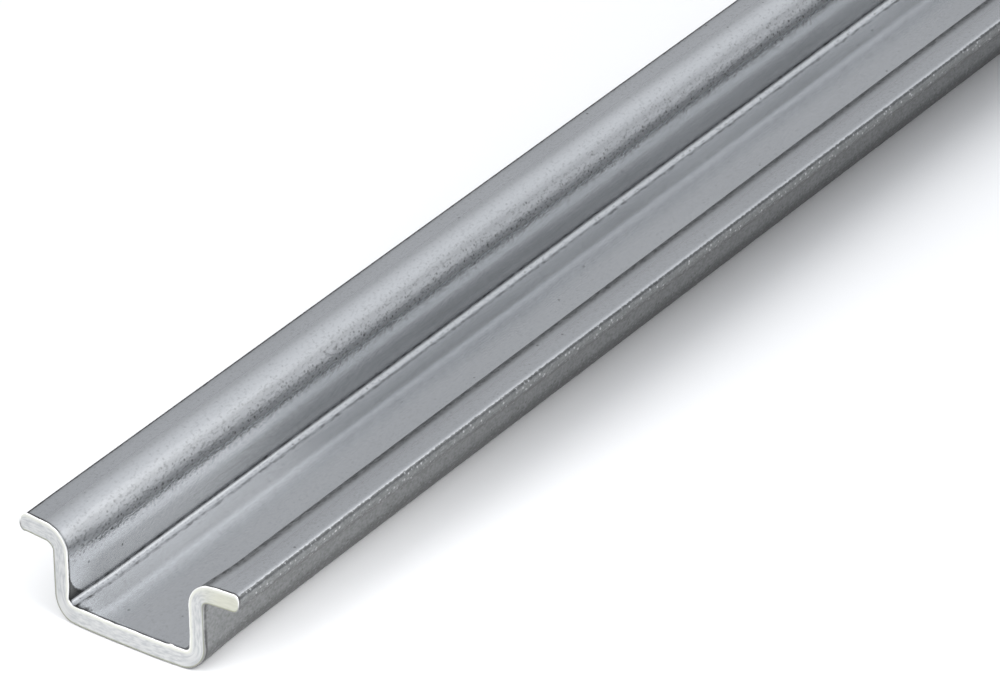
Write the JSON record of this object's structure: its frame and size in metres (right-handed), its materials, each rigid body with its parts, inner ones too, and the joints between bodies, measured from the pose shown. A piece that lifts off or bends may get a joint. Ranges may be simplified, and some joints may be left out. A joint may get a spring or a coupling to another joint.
{
  "type": "mounting rail",
  "caption": "Straight unslotted top-hat rail bent from zinc-plated steel strip: a shallow channel with two outward flanges, over which electrical devices clip.",
  "frame": {"origin": "middle of the rail's length and width, on the underside of its base", "axes": "+Y along the rail's length, +X across its width, +Z from the base up to the flanges, out of the open channel"},
  "size_m": [0.015, 1, 0.0055],
  "materials": {
    "zinc_plated_steel": "satin bright zinc plating with a fine grain and faint lengthwise rolling lines; bare, pale steel on the two cut ends"
  },
  "bodies": {
    "root": {"rail": "zinc_plated_steel"}
  },
  "joints": []
}
